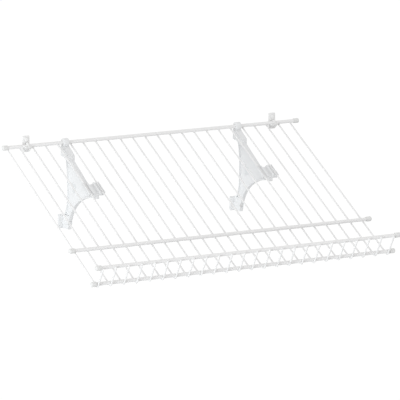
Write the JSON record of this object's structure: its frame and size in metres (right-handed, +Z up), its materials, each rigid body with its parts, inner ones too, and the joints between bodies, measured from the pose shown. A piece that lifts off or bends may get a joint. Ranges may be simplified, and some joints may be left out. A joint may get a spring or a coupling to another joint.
{
  "type": "shoe rack",
  "caption": "Sloping ventilated wire shoe shelf with a turned-up front lip, hung by wall clips and carried on curved wall brackets.",
  "frame": {"origin": "on the wall plane, at the height of the rear rod's axis, midway between the end wires", "axes": "+X to the right along the shelf, +Y into the wall, +Z up; the shelf slopes down towards -Y"},
  "size_m": [0.6129, 0.3844, 0.2075],
  "materials": {
    "white_coated_steel": "satin white coating on steel wire",
    "soft_cap": "matt soft white plastic",
    "moulded_plastic": "smooth moulded white plastic",
    "coated_screw": "white coated steel"
  },
  "bodies": {
    "wall_supports": {"bracket_left": "moulded_plastic", "bracket_right": "moulded_plastic", "screw_left": "coated_screw", "screw_right": "coated_screw", "clip_left": "moulded_plastic", "clip_right": "moulded_plastic", "pin_left": "moulded_plastic", "pin_right": "moulded_plastic"},
    "shelf": {"wire_01": "white_coated_steel", "wire_02": "white_coated_steel", "wire_03": "white_coated_steel", "wire_04": "white_coated_steel", "wire_05": "white_coated_steel", "wire_06": "white_coated_steel", "wire_07": "white_coated_steel", "wire_08": "white_coated_steel", "wire_09": "white_coated_steel", "wire_10": "white_coated_steel", "wire_11": "white_coated_steel", "wire_12": "white_coated_steel", "wire_13": "white_coated_steel", "wire_14": "white_coated_steel", "wire_15": "white_coated_steel", "wire_16": "white_coated_steel", "wire_17": "white_coated_steel", "wire_18": "white_coated_steel", "wire_19": "white_coated_steel", "wire_20": "white_coated_steel", "wire_21": "white_coated_steel", "wire_22": "white_coated_steel", "wire_23": "white_coated_steel", "wire_24": "white_coated_steel", "rod_rear": "white_coated_steel", "rod_middle": "white_coated_steel", "rod_front": "white_coated_steel", "rod_lip": "white_coated_steel", "cap_rear_left": "soft_cap", "cap_rear_right": "soft_cap", "cap_middle_left": "soft_cap", "cap_middle_right": "soft_cap", "cap_front_left": "soft_cap", "cap_front_right": "soft_cap", "cap_lip_left": "soft_cap", "cap_lip_right": "soft_cap"}
  },
  "joints": [
    {"name": "shelf_lift", "type": "hinge", "parent": "wall_supports", "child": "shelf", "pos_m": [0, -0.0065, 0], "axis": [-1, 0, 0], "range_deg": [0, 112]}
  ]
}
